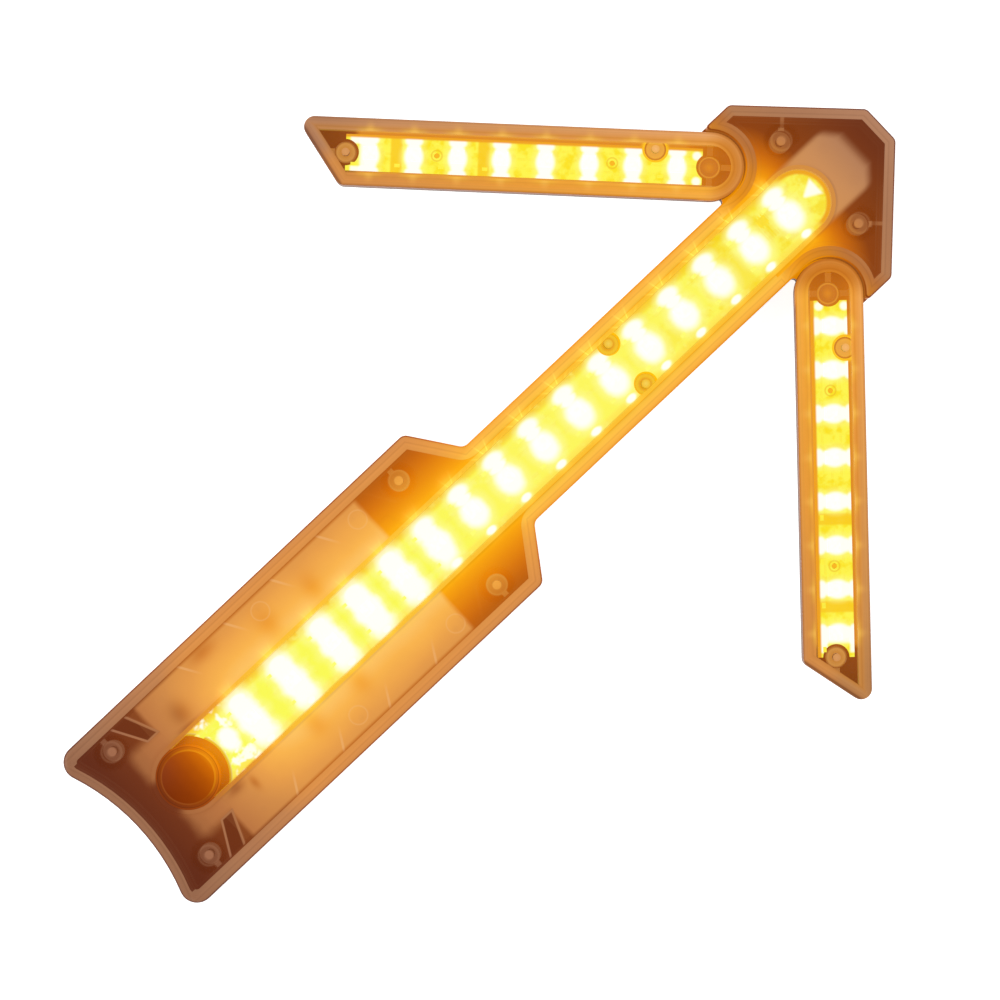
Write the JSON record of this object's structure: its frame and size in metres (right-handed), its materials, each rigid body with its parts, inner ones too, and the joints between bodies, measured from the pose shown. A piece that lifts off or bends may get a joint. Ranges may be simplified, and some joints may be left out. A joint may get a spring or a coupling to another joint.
{
  "type": "folding arrow light",
  "caption": "Portable battery-powered LED direction arrow with a wide battery housing, a long lit shaft and hinged lit arms that fold beside the shaft.",
  "frame": {"origin": "on the flat rear face, midway between the two arm pivots", "axes": "+X along the shaft towards the arrow's tip, +Y towards the left arm, +Z out of the lit front"},
  "size_m": [0.3806, 0.2958, 0.029],
  "materials": {
    "frosted_shell": "fine-textured translucent polycarbonate",
    "rear_plastic": "fine-textured moulded, dark brown",
    "clear_lens": "polished clear polycarbonate",
    "gasket": "silicone",
    "circuit_board": "white solder mask",
    "led": "lit amber LED",
    "resistor": "chip component",
    "chip": "moulded epoxy",
    "connector": "natural nylon",
    "screw": "zinc plated",
    "contact": "nickel plated spring steel",
    "tray": "natural ABS",
    "cell": "film-wrapped can",
    "red_lead": "PVC insulation",
    "grey_lead": "PVC sheath",
    "button": "smoked amber",
    "bezel": "smoked amber",
    "nylon": "natural nylon"
  },
  "bodies": {
    "body": {"front_shell": "frosted_shell", "rear_shell": "rear_plastic", "shell_gasket": "gasket", "window_lens": "clear_lens", "main_board": "circuit_board", "main_leds": "led", "main_resistors": "resistor", "controller_chip": "chip", "board_connectors": "connector", "board_screws": "screw", "shell_screws": "screw", "switch_board": "circuit_board", "switch_body": "chip", "switch_jumper": "nylon", "button_bezel": "bezel", "bezel_gasket": "gasket", "battery_tray": "tray", "tray_screws": "screw", "battery_cells": "cell", "contact_springs": "contact", "contact_plates": "contact", "battery_leads": "red_lead", "battery_door": "rear_plastic", "door_gasket": "gasket", "door_screws": "screw", "left_arm_lead": "grey_lead", "left_pivot_cap": "rear_plastic", "right_arm_lead": "grey_lead", "right_pivot_cap": "rear_plastic"},
    "left_arm": {"left_arm_frame": "frosted_shell", "left_arm_lens": "clear_lens", "left_arm_rear_cover": "rear_plastic", "left_arm_board": "circuit_board", "left_arm_leds": "led", "left_arm_resistors": "resistor", "left_arm_screws": "screw", "left_arm_gasket": "gasket", "left_arm_pigtail": "grey_lead", "left_friction_washer": "nylon", "left_retaining_ring": "contact"},
    "right_arm": {"right_arm_frame": "frosted_shell", "right_arm_lens": "clear_lens", "right_arm_rear_cover": "rear_plastic", "right_arm_board": "circuit_board", "right_arm_leds": "led", "right_arm_resistors": "resistor", "right_arm_screws": "screw", "right_arm_gasket": "gasket", "right_arm_pigtail": "grey_lead", "right_friction_washer": "nylon", "right_retaining_ring": "contact"},
    "power_button": {"button_cap": "button", "switch_plunger": "nylon"}
  },
  "joints": [
    {"name": "left_arm_fold", "type": "hinge", "parent": "body", "child": "left_arm", "pos_m": [0, 0.0319, 0.011], "axis": [0, 0, 1], "range_deg": [-2.5, 45.7]},
    {"name": "right_arm_fold", "type": "hinge", "parent": "body", "child": "right_arm", "pos_m": [0, -0.0319, 0.011], "axis": [0, 0, -1], "range_deg": [-0.2, 48]},
    {"name": "power_button_press", "type": "slide", "parent": "body", "child": "power_button", "axis": [0, 0, -1], "range_m": [0, 0.0006], "stiffness_N_per_m": 1500}
  ]
}
